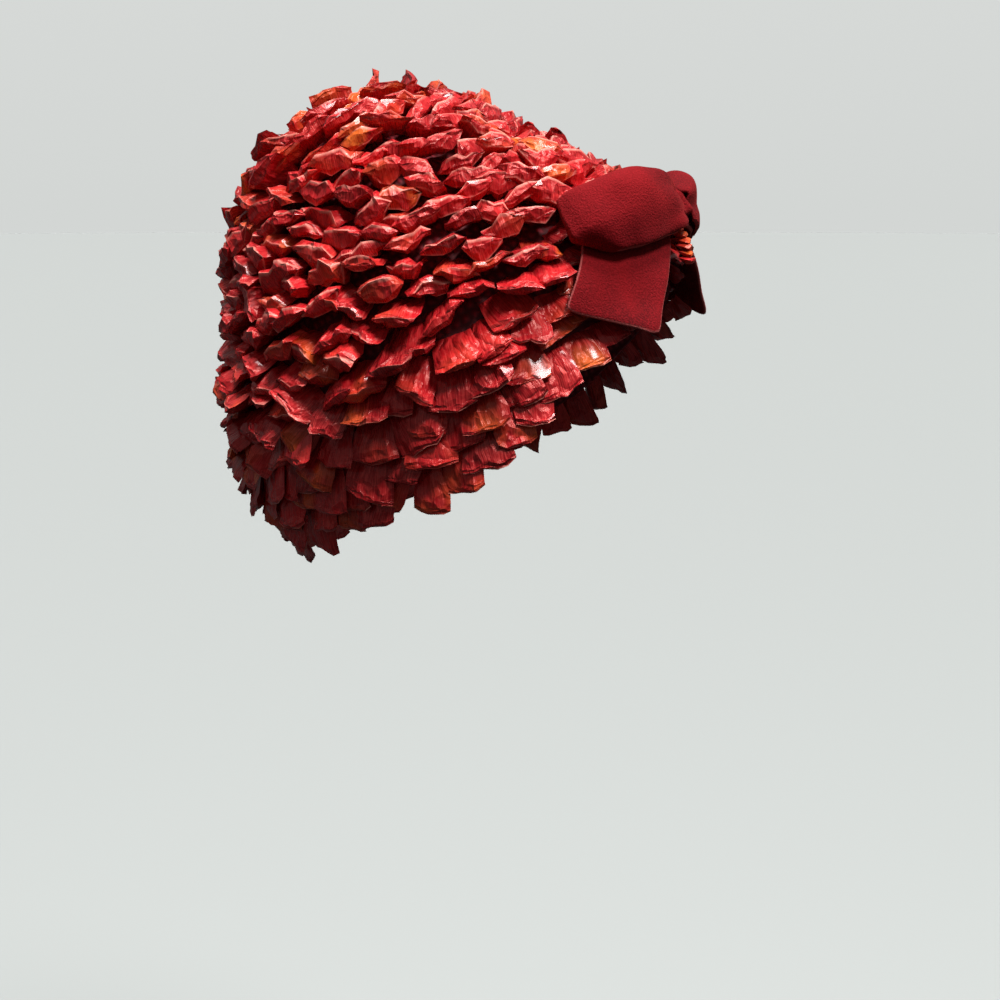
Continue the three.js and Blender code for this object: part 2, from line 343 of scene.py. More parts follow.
def add_loop(piece, place, form, dice):
    """One folded ribbon loop. place is (root, along, across, up), form a dictionary of its sizes."""
    root, along, across, up = place
    section = [
        (a[0] + (b[0] - a[0]) * form["open"], a[1] + (b[1] - a[1]) * form["open"])
        for a, b in zip(FLAT_LOOP, OPEN_LOOP)
    ]
    steps = len(section) - 1
    skew = dice.uniform(-SKEW, SKEW) * (FLAT_SKEW + (1 - FLAT_SKEW) * form["open"])
    pleat = dice.uniform(0, math.tau)
    pleats = dice.choice(PLEAT_COUNTS)
    peaks = (dice.uniform(-PEAK_SHIFT, PEAK_SHIFT), dice.uniform(-PEAK_SHIFT, PEAK_SHIFT))
    shift = Vector((dice.uniform(0, PATTERN_SHIFT), dice.uniform(0, PATTERN_SHIFT)))
    tint = min(max(dice.gauss(*DYE), 0), 1)
    crest = FOLD_STEP - form["open"]
    made = add_grid(piece, ACROSS_STEPS, steps)
    for vertex in made:
        side = vertex.co.x * 2
        step = round((vertex.co.y + 0.5) * steps)
        lens = min((1 - abs(side)) / POINTED_END, 1)
        reach = PINCHED_EDGE[step] + (section[step][0] - PINCHED_EDGE[step]) * lens
        spread = form["gather"] + (1 - form["gather"]) * ease(reach, *GATHER_OPENS)
        wave = form["pleat"] * math.cos(pleats * math.pi * side + pleat)
        peak = PEAK_HEIGHT - PEAK_FALL * abs(side - peaks[step > FOLD_STEP])
        raised = section[step][1] * peak
        height = form["puff"] * (raised * lens + wave * reach * (PLEAT_END - reach))
        run = form["length"] * reach * (1 + skew * side * reach)
        vertex.co = (
            root + along * run + across * (side * form["width"] / 2 * spread) + up * height
        )
        vertex[piece.tint] = tint
        # This layer carries the faded orange, and at the top of the cap a painted glow in the same orange.
        vertex[piece.fade_and_glow] = form["fade_and_glow"] * ease(reach, 0.1, 0.9)
        # The edge layer paints the fold and the crease under it pale: partly wear, partly a painted
        # highlight where they catch the light.
        upper = max(0, 1 - abs(step - crest))
        lower = LOWER_WEAR_AND_HIGHLIGHT if step == LOWER_CREASE else 0
        vertex[piece.edge] = max(upper, lower * form["open"])
        for corner in vertex.link_loops:
            u, v = corner[piece.uv].uv
            corner[piece.uv].uv = (
                (u * form["width"] + shift.x) / UV_UNIT,
                (v * form["length"] * 2 + shift.y) / UV_UNIT,
            )
    bmesh.ops.remove_doubles(piece.mesh, verts=made, dist=MERGE_DISTANCE)
    for vertex in made:
        if vertex.is_valid:
            vertex.co += up * dice.gauss(0, form["crinkle"])
            vertex.co += along * dice.gauss(0, form["crinkle"])


# Straight down as the cap is worn, seen from its tilted axis, and leaning back as the loops are laid beyond
# these degrees from the forehead
HANGS = Vector((-math.sin(AXIS_TILT), 0, -math.cos(AXIS_TILT)))
LEANS_BACK = Vector((-0.5, 0, 0))
LEAN_ANGLES = (30, 160)


def loop_place(angle, distance, gap, form):
    """Where a loop is sewn, and its directions: along it, across it and up off its face."""
    out, down = directions(angle, distance)
    pull = HANGS + LEANS_BACK * ease(from_front(angle), *LEAN_ANGLES)
    hang = (pull - out * pull.dot(out)).normalized()
    base = (down * (1 - form["droop"]) + hang * form["droop"]).normalized()
    base = Matrix.Rotation(form["yaw"], 3, out) @ base
    along = base * math.cos(form["flare"]) + out * math.sin(form["flare"])
    up = out * math.cos(form["flare"]) - base * math.sin(form["flare"])
    roll = Matrix.Rotation(form["roll"], 3, along)
    across = roll @ along.cross(up)
    return off_crown(angle, distance, gap), along, across, roll @ up


# How the loops change up the cap: height on it, flare in degrees, length, puff, how open the fold stands,
# and how far they hang straight down instead of along the crown
LOOP_FORMS = [
    (-10, 19, 18.0, 3.0, 0.1, 0.6),
    (20, 24, 17.5, 4.0, 0.2, 0.7),
    (42, 40, 16.0, 5.8, 0.75, 0.85),
    (62, 54, 14.5, 7.0, 1.0, 0.85),
    (92, 56, 14.5, 7.2, 1.0, 0.8),
    (112, 50, 16.0, 7.0, 0.8, 0.45),
    (130, 34, 17.0, 5.6, 0.6, 0.0),
]
FORM_NAMES = ("flare", "length", "puff", "open", "droop")

# The nape, where the loops lie flatter, longer and wider: degrees from the forehead over which it begins,
# heights over which it ends, and what it changes
NAPE_ANGLES = (95, 150)
NAPE_HEIGHTS = (60, 100)
NAPE_CLOSES = 0.75
NAPE_LONGER = 2
NAPE_WIDER = 2
NAPE_FLATTER = 0.25
NAPE_LOWER = 6
# Loops get wider again near the top, where the rows are short
TOP_HEIGHTS = (100, 120)
TOP_WIDER = 3

# Ranges by chance: widths in millimetres, the gathered end's share of the width, pleats as a share of the
# puff, and shares of the length and puff; then how much the fold opens or closes
WIDTHS = (13.5, 19.5)
GATHERS = (0.5, 0.8)
PLEATS = (0.15, 0.4)
LENGTH_SHARES = (0.86, 1.1)
PUFF_SHARES = (0.55, 1.2)
OPENING = 0.3
# The rows get looser over these heights. Each pair is a spread at the rim and what looser rows add to it:
# angles in degrees, creases in millimetres and deeper pleats.
LOOSE_HEIGHTS = (10, 60)
FLARE_SPREAD = (4, 4)
YAW_SPREAD = (12, 3)
ROLL_SPREAD = (6, 5)
ROLL_MIDDLE = 4
CRINKLE = (0.22, 0.22)
LOOSER_PLEATS = 0.2

# Fading to orange: its chance, and how much more the sun has faded the rim and the nape. At the top the same
# orange is a painted glow, of loops shining through with light behind them.
FADE_CHANCE = (-0.25, 0.5)
TOP_GLOW_HEIGHTS = (92, 122)
TOP_PAINTED_GLOW = 0.5
RIM_FADE_HEIGHTS = (-8, 14)
RIM_FADED = 0.4
NAPE_FADED = 0.2

# Sizes of a loop that the bow presses flat, and how much of its turn to the side that takes away
PRESSED = {"flare": 17, "length": 9, "puff": 1.4}
PRESSED_STRAIGHT = 0.7


def form_at(angle, height, dice):
    """A loop's sizes at a place on the cap, with its own chance differences."""
    above = next((i for i, row in enumerate(LOOP_FORMS) if row[0] > height), -1)
    low, high = LOOP_FORMS[above - 1], LOOP_FORMS[above]
    share = min(max((height - low[0]) / (high[0] - low[0]), 0), 1)
    values = [a + (b - a) * share for a, b in zip(low[1:], high[1:])]
    form = dict(zip(FORM_NAMES, values))
    back = ease(from_front(angle), *NAPE_ANGLES) * (1 - ease(height, *NAPE_HEIGHTS))
    form["open"] *= 1 - NAPE_CLOSES * back
    form["length"] += NAPE_LONGER * back
    form["puff"] *= 1 - NAPE_FLATTER * back
    form["flare"] -= NAPE_LOWER * back
    loose = ease(height, *LOOSE_HEIGHTS)
    wider = NAPE_WIDER * back
    form["width"] = dice.uniform(*WIDTHS) + wider + TOP_WIDER * ease(height, *TOP_HEIGHTS)
    form["gather"] = dice.uniform(*GATHERS)
    form["pleat"] = dice.uniform(PLEATS[0], PLEATS[1] + LOOSER_PLEATS * loose)
    form["length"] *= dice.uniform(*LENGTH_SHARES)
    form["puff"] *= dice.uniform(*PUFF_SHARES)
    form["open"] = min(max(form["open"] + dice.uniform(-OPENING, OPENING), 0), 1)
    form["flare"] += dice.gauss(0, FLARE_SPREAD[0] + FLARE_SPREAD[1] * loose)
    form["yaw"] = math.radians(dice.gauss(0, YAW_SPREAD[0] + YAW_SPREAD[1] * loose))
    form["roll"] = math.radians(
        dice.gauss(ROLL_MIDDLE, ROLL_SPREAD[0] + ROLL_SPREAD[1] * loose)
    )
    form["crinkle"] = CRINKLE[0] + CRINKLE[1] * loose
    # The orange at the top is a painted glow of loops lit from behind; at the rim and the nape it is fading.
    fade_and_glow_added = TOP_PAINTED_GLOW * ease(height, *TOP_GLOW_HEIGHTS)
    fade_and_glow_added += RIM_FADED * (1 - ease(height, *RIM_FADE_HEIGHTS))
    fade_and_glow_added += NAPE_FADED * back
    form["fade_and_glow"] = max(0, dice.gauss(*FADE_CHANCE) + fade_and_glow_added)
    pressed = under_bow(angle, height)
    for name, value in PRESSED.items():
        form[name] += (value - form[name]) * pressed
    form["flare"] = math.radians(form["flare"])
    form["droop"] *= 1 - pressed
    form["yaw"] *= 1 - PRESSED_STRAIGHT * pressed
    return form


# How unevenly a row is sewn: shares of the pitch round the cap, and millimetres up and down. Then the gap
# under its stitches, and the size and depth of its creases.
TURN_CHANCE = 0.12
DISTANCE_SPREAD = 1.1
ROW_GAP = 0.9
ROW_CREASES = (6.0, 1.3)


def raffia_row(index, material):
    """One row of loops round the cap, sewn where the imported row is."""
    dice = random.Random(f"row {index}")
    pitch = (ROWS_REACH - FIRST_ROW_RISE - LAST_ROW_RADIUS) / (ROW_COUNT - 1)
    share = 1 - (FIRST_ROW_RISE + index * pitch) / ROWS_REACH
    middle = crown_at(ROWS_REACH * share)
    girth = math.pi * (middle.x + middle.y + ROW_MARGIN)
    loops = max(round(girth / LOOP_PITCH), FEWEST_LOOPS)
    piece = Piece()
    for loop in range(loops):
        shifted = dice.uniform(-TURN_CHANCE, TURN_CHANCE)
        angle = (loop + 0.5 + (index % 2) / 2 + shifted) / loops * math.tau
        distance = rim_distance(angle) * share + dice.gauss(0, DISTANCE_SPREAD)
        form = form_at(angle, crown_at(distance).z, dice)
        place = loop_place(angle, distance, ROW_GAP, form)
        add_loop(piece, place, form, dice)
    crumple(piece, *ROW_CREASES, index)
    name = f"raffia_row_{index + 1:02d}"
    return finish_piece(f"ruffle_{index + 1:02d}", piece, material, name)


# Strips at the top of the crown: how many, how far from its centre, length, width, flare, gap to the crown
# and fading. The last tier is split fibres.
ROSETTE_TIERS = [
    (20, 3.0, 22.0, 9.0, 16, 1.2, 0.3),
    (10, 1.8, 15.0, 7.0, 34, 2.4, 0.4),
    (6, 0.8, 10.0, 6.0, 58, 3.4, 0.4),
    (44, 2.0, 17.0, 1.3, 22, 3.2, 1.0),
]
# What all strips share, and how single ones differ: place round the crown as a share of the pitch, shares
# of the length and width, puff as a share of the width, fading, and angles in degrees
STRIP_FORM = {"gather": 0.4, "pleat": 0.5, "open": 0.3, "droop": 0}
STRIP_TURN = 0.4
STRIP_LENGTHS = (0.75, 1.2)
STRIP_WIDTHS = (0.7, 1.3)
STRIP_PUFFS = (0.25, 0.5)
STRIP_FADE = 0.3
STRIP_FLARE = 8
STRIP_YAW = 18
STRIP_ROLL = 20
STRIP_CRINKLE = 0.04
STRIP_CREASES = (4, 0.9)
STRIP_SEED = 91


def crown_rosette(material):
    """Narrow strips bunched together at the top of the crown, with frayed fibres among them."""
    dice = random.Random("rosette")
    piece = Piece()
    for count, radius, length, width, flare, gap, fade_and_glow in ROSETTE_TIERS:
        for strip in range(count):
            angle = (strip + dice.uniform(-STRIP_TURN, STRIP_TURN)) / count * math.tau
            form = {
                "length": length * dice.uniform(*STRIP_LENGTHS),
                "width": width * dice.uniform(*STRIP_WIDTHS),
                "puff": width * dice.uniform(*STRIP_PUFFS),
                "fade_and_glow": max(0, dice.gauss(fade_and_glow, STRIP_FADE)),
                "flare": math.radians(flare + dice.gauss(0, STRIP_FLARE)),
                "yaw": math.radians(dice.gauss(0, STRIP_YAW)),
                "roll": math.radians(dice.gauss(0, STRIP_ROLL)),
                "crinkle": STRIP_CRINKLE * width,
                **STRIP_FORM,
            }
            place = loop_place(angle, radius, gap, form)
            add_loop(piece, place, form, dice)
    crumple(piece, *STRIP_CREASES, STRIP_SEED)
    return finish_piece("rosette_strips", piece, material, "crown_rosette")


# Bow: how far its tails and loops stand off the crown, and the thickness of the plush
TAIL_STAND = 8.2
WING_STAND = 11.6
PLUSH = 2.2


def blend_rows(table, share):
    """A table's row at a share of the way, its first column, in straight lines between the rows."""
    above = next((i for i, row in enumerate(table) if row[0] > share), len(table) - 1)
    low, high = table[above - 1], table[above]
    part = (share - low[0]) / (high[0] - low[0])
    return [a + (b - a) * part for a, b in zip(low[1:], high[1:])]


def bow_point(side, angle, height, stand):
    """A point off the crown, on the wearer's left for side 1 and right for side -1."""
    turned = side * math.radians(angle)
    return off_crown(turned, distance_at(height), stand)


def thicken(made, thickness):
    """Gives cloth its thickness about its middle, with its edges rounded by one subdivision."""
    wall = made.modifiers.new("thickness", "SOLIDIFY")
    wall.thickness = thickness * 0.001
    wall.offset = 0
    wall.use_even_offset = False
    rounded = made.modifiers.new("rounded", "SUBSURF")
    rounded.levels = 1
    rounded.render_levels = 1


# Bow loop, from the knot to its tip: along it, degrees from the forehead, middle height, half height, puff
WING_SECTIONS = [
    (0.0, 4.0, 29.5, 5.0, 4.0),
    (0.15, 9.0, 30.5, 7.6, 7.0),
    (0.4, 17.5, 32.5, 9.8, 9.8),
    (0.65, 25.0, 34.0, 10.8, 9.4),
    (0.86, 30.0, 35.5, 11.2, 5.8),
    (1.0, 32.0, 36.5, 11.0, 1.2),
]
# The loop's tip: how far across the band it lies, its degrees beyond the last section, and how many of them
# the outline loses above and below it
TIP_LEVEL = -0.3
TIP_REACH = 6.5
ABOVE_TIP = 3.6
BELOW_TIP = 10

WING_GRID = (20, 48)
WING_CLOTH = PLUSH * 0.8
# The band's own steps are even up to half the loop and then get shorter. The factor joins both parts.
EVEN_PACE = 1.4142
# Rise of the puff across the band, as two powers, and how much fuller it is above its middle
PUFF_POWERS = (2.2, 0.55)
FULLER_ABOVE = 0.68
# Millimetres: the band's own gap to the crown, the front's gap to the back up to the fold, the hollow of
# the back, and the depths of the gathers at the knot and of the soft folds over the front
BAND_GAP = 1.2
FRONT_GAP = 2.4
FOLD_STARTS = 0.93
BACK_HOLLOW = 0.6
GATHER_DEPTH = 1.3
GATHERED_PART = 0.5
GATHER_WAVES = 7
SOFT_DEPTH = 0.9
SOFT_WAVES = (3, 5)
# The band's cut edges, which carry a painted highlight, pale where they catch the light
CUT_EDGE = (0.9, 1)
WING_CREASES = (12, 1.2)
WING_SEED = 7


def wing_piece(side, name, material, replaced):
    """A loop of the bow: one band of plush that goes out over the puff, turns at the tip and comes back."""
    dice = random.Random(name)
    folds = [dice.uniform(0, math.tau) for _ in range(2)]
    piece = Piece()
    made = add_grid(piece, *WING_GRID)
    for vertex in made:
        across = vertex.co.x * 2
        way = vertex.co.y + 0.5
        share = min(way, 1 - way) * 2
        share = math.sin(share * math.pi / 2) if share > 0.5 else share * EVEN_PACE
        share = min(share, 1)
        angle, middle, half, puff = blend_rows(WING_SECTIONS, share)
        lens = max(1 - abs(across) ** PUFF_POWERS[0], 0) ** PUFF_POWERS[1]
        lens *= 1 + FULLER_ABOVE * across
        stand = WING_STAND + BAND_GAP
        if way < 0.5:
            stand += puff * lens + FRONT_GAP * (1 - ease(share, FOLD_STARTS, 1))
            gathered = (1 - ease(share, 0, GATHERED_PART)) * GATHER_DEPTH
            stand += gathered * math.cos(across * GATHER_WAVES + folds[0]) * lens
            soft = across * SOFT_WAVES[0] + share * SOFT_WAVES[1] + folds[1]
            stand += SOFT_DEPTH * math.cos(soft)
        else:
            stand -= BACK_HOLLOW * lens
        above = max(across - TIP_LEVEL, 0) * ABOVE_TIP
        below = max(TIP_LEVEL - across, 0) * BELOW_TIP
        angle += (TIP_REACH - above - below) * share**4
        vertex.co = bow_point(side, angle, middle + half * across, stand)
        # The cut edges get a painted highlight.
        vertex[piece.edge] = ease(abs(across), *CUT_EDGE)
    crumple(piece, *WING_CREASES, WING_SEED * side)
    made = finish_piece(name, piece, material, replaced, slot="velvet")
    thicken(made, WING_CLOTH)
    return made


# Bow tail, from under the loop to its cut end: along it, then degrees from the forehead and height of its
# edge near the forehead and of its other edge
TAIL_SECTIONS = [
    (0.0, 5, 27.5, 29, 40.0),
    (0.3, 12, 19.2, 35, 33.3),
    (0.65, 21, 7.7, 41, 25.6),
    (1.0, 31, -5.5, 48, 17.0),
]
TAIL_GRID = (16, 20)
TAIL_CLOTH = PLUSH * 0.65
# The corners of the cut end: how far from the middle they begin, as a share of the width, how far along the
# tail, and how much they are drawn in
CORNER_STARTS = 0.38
CORNER_ALONG = 0.7
CORNER_DRAWN = 0.045
# Millimetres: the tail's own gap to the crown, its long wave, and the curl of its end
TAIL_GAP = 1.3
TAIL_WAVE = 0.5
TAIL_WAVES = 4
END_CURL = 1.6
END_STARTS = 0.75
END_WAVES = 3
# Where the painted highlight of the cut edge begins at the sides and at the end
SIDE_EDGE = (0.44, 0.5)
END_EDGE = (0.93, 1)
TAIL_CREASES = (16, 0.8)
TAIL_SEED = 3


def tail_piece(side, name, material, replaced):
    """A flat, square-cut tail of doubled plush with soft corners."""
    dice = random.Random(name)
    folds = [dice.uniform(0, math.tau) for _ in range(2)]
    piece = Piece()
    made = add_grid(piece, *TAIL_GRID)
    for vertex in made:
        across = vertex.co.x + 0.5
        share = vertex.co.y + 0.5
        aside = abs(across - 0.5)
        row = blend_rows(TAIL_SECTIONS, share)
        corner = max(aside - CORNER_STARTS, 0) / (0.5 - CORNER_STARTS)
        pull = 1 - CORNER_DRAWN * corner**2 * ease(share, CORNER_ALONG, 1)
        front, front_height, back, back_height = [
            start + (value - start) * pull for value, start in zip(row, TAIL_SECTIONS[1][1:])
        ]
        angle = front + (back - front) * across
        height = front_height + (back_height - front_height) * across
        stand = TAIL_STAND + TAIL_GAP
        stand += TAIL_WAVE * math.cos(across * TAIL_WAVES + folds[0]) * share
        curl = ease(share, END_STARTS, 1) * math.cos(across * END_WAVES + folds[1])
        stand += END_CURL * curl
        vertex.co = bow_point(side, angle, height, stand)
        # The cut edges get a painted highlight.
        vertex[piece.edge] = max(ease(aside, *SIDE_EDGE), ease(share, *END_EDGE))
    crumple(piece, *TAIL_CREASES, TAIL_SEED * side)
    made = finish_piece(name, piece, material, replaced, slot="velvet")
    thicken(made, TAIL_CLOTH)
    return made


# The knot: its height on the cap, how far it stands out, half its depth, width and height, its upright
# pleats with their depth and twist, and what squares its top and bottom off
KNOT_HEIGHT = 32
KNOT_STAND = 5
KNOT_SIZES = (6.0, 6.8, 8.6)
KNOT_PLEATS = 6
PLEAT_DEPTH = 0.17
PLEAT_TWIST = 1.6
SQUARED_SIDE = 0.8
SQUARED_MIDDLE = 0.72
KNOT_CREASES = (5, 1.2)
KNOT_SEED = 4


def knot_piece(material):
    """The gathered knot: plush wound upright round the middle, with deep pleats."""
    piece = Piece()
    bmesh.ops.create_uvsphere(piece.mesh, u_segments=40, v_segments=20, radius=1)
    out = directions(0, distance_at(KNOT_HEIGHT))[0]
    centre = bow_point(1, 0, KNOT_HEIGHT, TAIL_STAND + KNOT_STAND)
    turn = Matrix.Rotation(-math.atan2(out.z, out.x), 3, "Y")
    depth, width, height = KNOT_SIZES
    for vertex in piece.mesh.verts:
        x, y, z = vertex.co
        around = math.atan2(y, x)
        wave = math.cos(around * KNOT_PLEATS + z * PLEAT_TWIST)
        pleat = 1 + PLEAT_DEPTH * wave * (1 - z * z)
        square = 1 / max(abs(z), math.sqrt(1 - z * z) * SQUARED_SIDE, SQUARED_MIDDLE)
        shaped = Vector((x * depth * pleat, y * width * pleat, z * height * square))
        vertex.co = turn @ shaped + centre
    crumple(piece, *KNOT_CREASES, KNOT_SEED)
    return finish_piece("knot", piece, material, "bow_knot", slot="velvet")


# Short folds of a strip that hangs from the knot between the tails: degrees from the forehead, height and
# stand. Then its sizes, and how much it juts out for its way down.
KNOT_FOLDS = [
    (4.6, 27.0, 9.6),
    (4.9, 24.8, 9.3),
    (5.3, 22.6, 9.0),
    (5.8, 20.4, 8.7),
    (6.3, 18.2, 8.4),
    (6.9, 16.0, 8.1),
]
FOLD_FORM = {"gather": 0.7, "puff": 3.0, "pleat": 0.2, "open": 0.5, "fade_and_glow": 0.75, "crinkle": 0.15}
FOLD_LENGTHS = (5.5, 7)
FOLD_WIDTHS = (6, 7.5)
FOLD_JUTS = 0.6


def knot_ruffle(material):
    """A narrow strip of faded raffia, gathered into short folds under the knot."""
    dice = random.Random("knot ruffle")
    piece = Piece()
    out, down = directions(0, distance_at(KNOT_HEIGHT))
    along = (down + out * FOLD_JUTS).normalized()
    across = along.cross(out).normalized()
    up = across.cross(along)
    for angle, height, stand in KNOT_FOLDS:
        form = {
            "length": dice.uniform(*FOLD_LENGTHS),
            "width": dice.uniform(*FOLD_WIDTHS),
            **FOLD_FORM,
        }
        add_loop(piece, (bow_point(-1, angle, height, stand), along, across, up), form, dice)
    return finish_piece("knot_ruffle", piece, material)


def from_hex(text, alpha=1):
    """An sRGB hex value as linear colour."""
    made = []
    for start in (0, 2, 4):
        value = int(text[start : start + 2], 16) / 255
        made.append(value / 12.92 if value <= 0.04045 else ((value + 0.055) / 1.055) ** 2.4)
    return (*made, alpha)


def add_node(tree, kind, settings=None, **links):
    """Adds a node with its settings. A link is an output socket, and anything else is an input's value.

    An input goes by its name, with _ for a space, or by its number: i6 and i7 are a Mix node's colours.
    """
    node = tree.nodes.new(kind)
    for name, value in (settings or {}).items():
        setattr(node, name, value)
    for name, value in links.items():
        numbered = name[0] == "i" and name[1:].isdigit()
        socket = node.inputs[int(name[1:]) if numbered else name.replace("_", " ")]
        if isinstance(value, bpy.types.NodeSocket):
            tree.links.new(value, socket)
        else:
            socket.default_value = value
    return node


def new_material(name):
    """A material whose node tree is still empty."""
    made = bpy.data.materials.new(name)
    made.use_nodes = True
    made.node_tree.nodes.clear()
    return made, made.node_tree


COLOURS = {"data_type": "RGBA"}
TIMES = {"operation": "MULTIPLY"}


def raffia_colour(tree, fibres, patches):
    """Red that differs from loop to loop, streaked along the fibres, faded to orange in patches with a
    painted glow in that orange at the top, and pale on folds from wear and a painted highlight.
    """
    tint, fade_and_glow_share, edge = [
        add_node(tree, "ShaderNodeAttribute", {"attribute_name": name}).outputs["Fac"]
        for name in ("tint", "fade_and_glow", "edge")
    ]
    dyed = add_node(
        tree, "ShaderNodeMix", COLOURS, i0=tint, i6=from_hex("860A14"), i7=from_hex("C41A22")
    ).outputs[2]
    streaks = add_node(
        tree, "ShaderNodeMapRange", Value=fibres, From_Min=0.46, From_Max=0.78
    ).outputs[0]
    lined = add_node(
        tree, "ShaderNodeMix", COLOURS, i0=streaks, i6=dyed, i7=from_hex("E04440")
    ).outputs[2]
    pale = add_node(
        tree, "ShaderNodeMapRange", Value=patches, From_Min=0.4, From_Max=0.62
    ).outputs[0]
    # Orange where the ribbon has faded, and at the top a painted glow of backlit loops.
    fade_and_glow_mask = add_node(tree, "ShaderNodeMath", TIMES, i0=fade_and_glow_share, i1=pale).outputs[0]
    orange = add_node(
        tree, "ShaderNodeMix", COLOURS, i0=fade_and_glow_mask, i6=lined, i7=from_hex("DC6426")
    ).outputs[2]
    # Pale pink on the folds: partly wear, partly a painted highlight.
    fold = add_node(
        tree, "ShaderNodeMapRange", Value=edge, From_Min=0.55, From_Max=0.95, To_Max=0.8
    ).outputs[0]
    return add_node(
        tree, "ShaderNodeMix", COLOURS, i0=fold, i6=orange, i7=from_hex("F49A8A")
    ).outputs[2]


# Pattern sizes on the ribbon in millimetres: a fibre's width and length, a faded patch's width and length,
# a crease, and the bends that make creases wander
FIBRE = (0.417, 7.7)
PATCH = (11.1, 14.3)
CREASE = 2.94
BEND = 5.56


def glossy_raffia():
    """Viscose raffia ribbon, pressed flat and dyed red.

    Glossy with fine fibres along the ribbon, creased like foil, pale on its folds from wear and a painted
    highlight, and faded to orange in places, with a painted glow in that orange at the top.
    """
    made, tree = new_material("glossy_raffia_pressed")
    uv = add_node(tree, "ShaderNodeUVMap", {"uv_map": "along_ribbon"}).outputs[0]
    fibre_scale = (UV_UNIT / FIBRE[0], UV_UNIT / FIBRE[1], 1)
    along = add_node(tree, "ShaderNodeMapping", Vector=uv, Scale=fibre_scale).outputs[0]
    fibres = add_node(tree, "ShaderNodeTexNoise", Vector=along, Scale=1.0, Detail=4.0).outputs[0]
    patch_scale = (UV_UNIT / PATCH[0], UV_UNIT / PATCH[1], 1)
    broad = add_node(tree, "ShaderNodeMapping", Vector=uv, Scale=patch_scale).outputs[0]
    patches = add_node(tree, "ShaderNodeTexNoise", Vector=broad, Scale=1.0).outputs[0]
    bent = add_node(
        tree, "ShaderNodeTexNoise", Vector=uv, Scale=UV_UNIT / BEND, Detail=2.0
    ).outputs[1]
    wavy = add_node(
        tree, "ShaderNodeMix", {"data_type": "VECTOR"}, i0=0.35, i4=uv, i5=bent
    ).outputs[1]
    creases = add_node(
        tree, "ShaderNodeTexVoronoi", {"feature": "F1"}, Vector=wavy, Scale=UV_UNIT / CREASE
    ).outputs[0]
    ridges = add_node(
        tree, "ShaderNodeBump", Strength=0.9, Distance=0.0018, Height=creases
    ).outputs[0]
    grain = add_node(
        tree, "ShaderNodeBump", Strength=0.42, Distance=0.0004, Height=fibres, Normal=ridges
    ).outputs[0]
    rough = add_node(
        tree,
        "ShaderNodeMapRange",
        Value=fibres,
        From_Min=0.3,
        From_Max=0.7,
        To_Min=0.22,
        To_Max=0.42,
    ).outputs[0]
    shader = add_node(
        tree,
        "ShaderNodeBsdfPrincipled",
        Base_Color=raffia_colour(tree, fibres, patches),
        Roughness=rough,
        Normal=grain,
        IOR=1.5,
        Specular_Tint=from_hex("FFB0A4"),
        Coat_Weight=0.26,
        Coat_Roughness=0.12,
    ).outputs[0]
    add_node(tree, "ShaderNodeOutputMaterial", Surface=shader)
    return made


# Millimetres: a brushed patch of the velvet, and a tuft of its pile. A tuft is about 0.5 mm on the real
# cloth, and is drawn coarser so that it shows.
BRUSHED_PATCH = 29.4
TUFT = 0.667
# Object coordinates count metres
METRE = 1000


def plush_velvet():
    """Cotton velvet with a short cut pile, dyed red.

    The pile scatters light, so brushed patches lie lighter and darker, and the cut edges carry a painted
    highlight, pale where they catch the light.
    """
    made, tree = new_material("cotton_velvet_cut_pile")
    place = add_node(tree, "ShaderNodeTexCoord").outputs["Object"]
    nap = add_node(
        tree,
        "ShaderNodeTexNoise",
        Vector=place,
        Scale=METRE / BRUSHED_PATCH,
        Detail=2.0,
        Distortion=0.4,
    ).outputs[0]
    tufts = add_node(
        tree, "ShaderNodeTexNoise", Vector=place, Scale=METRE / TUFT, Detail=2.0
    ).outputs[0]
    brushed = add_node(
        tree, "ShaderNodeMapRange", Value=nap, From_Min=0.34, From_Max=0.66
    ).outputs[0]
    pile = add_node(
        tree, "ShaderNodeMix", COLOURS, i0=brushed, i6=from_hex("400408"), i7=from_hex("73080E")
    ).outputs[2]
    raised = add_node(
        tree, "ShaderNodeMapRange", Value=tufts, From_Min=0.4, From_Max=0.66
    ).outputs[0]
    tips = add_node(
        tree, "ShaderNodeMix", COLOURS, i0=0.45, i6=pile, i7=from_hex("92121A")
    ).outputs[2]
    flecked = add_node(tree, "ShaderNodeMix", COLOURS, i0=raised, i6=pile, i7=tips).outputs[2]
    # The cut edges are painted pale: a painted highlight where they catch the light.
    edge = add_node(tree, "ShaderNodeAttribute", {"attribute_name": "edge"}).outputs["Fac"]
    cut = add_node(
        tree, "ShaderNodeMapRange", Value=edge, From_Min=0.75, From_Max=1.0, To_Max=0.5
    ).outputs[0]
    colour = add_node(
        tree, "ShaderNodeMix", COLOURS, i0=cut, i6=flecked, i7=from_hex("C86C68")
    ).outputs[2]
    bump = add_node(
        tree, "ShaderNodeBump", Strength=0.8, Distance=0.0006, Height=tufts
    ).outputs[0]
    shader = add_node(
        tree,
        "ShaderNodeBsdfPrincipled",
        Base_Color=colour,
        Roughness=0.9,
        Normal=bump,
        Sheen_Weight=0.2,
        Sheen_Roughness=0.35,
        Sheen_Tint=from_hex("F0504C"),
        Specular_IOR_Level=0.12,
    ).outputs[0]
    add_node(tree, "ShaderNodeOutputMaterial", Surface=shader)
    return made


# The straw cloth's strip with the gap beside it, in millimetres, and the cap's mean radius in metres, which
# turns an angle into a length round it. A Wave node turns 20 radians for each unit.
STRIP_PITCH = 3.93
MEAN_RADIUS = 0.085
WAVE_RADIANS = 20


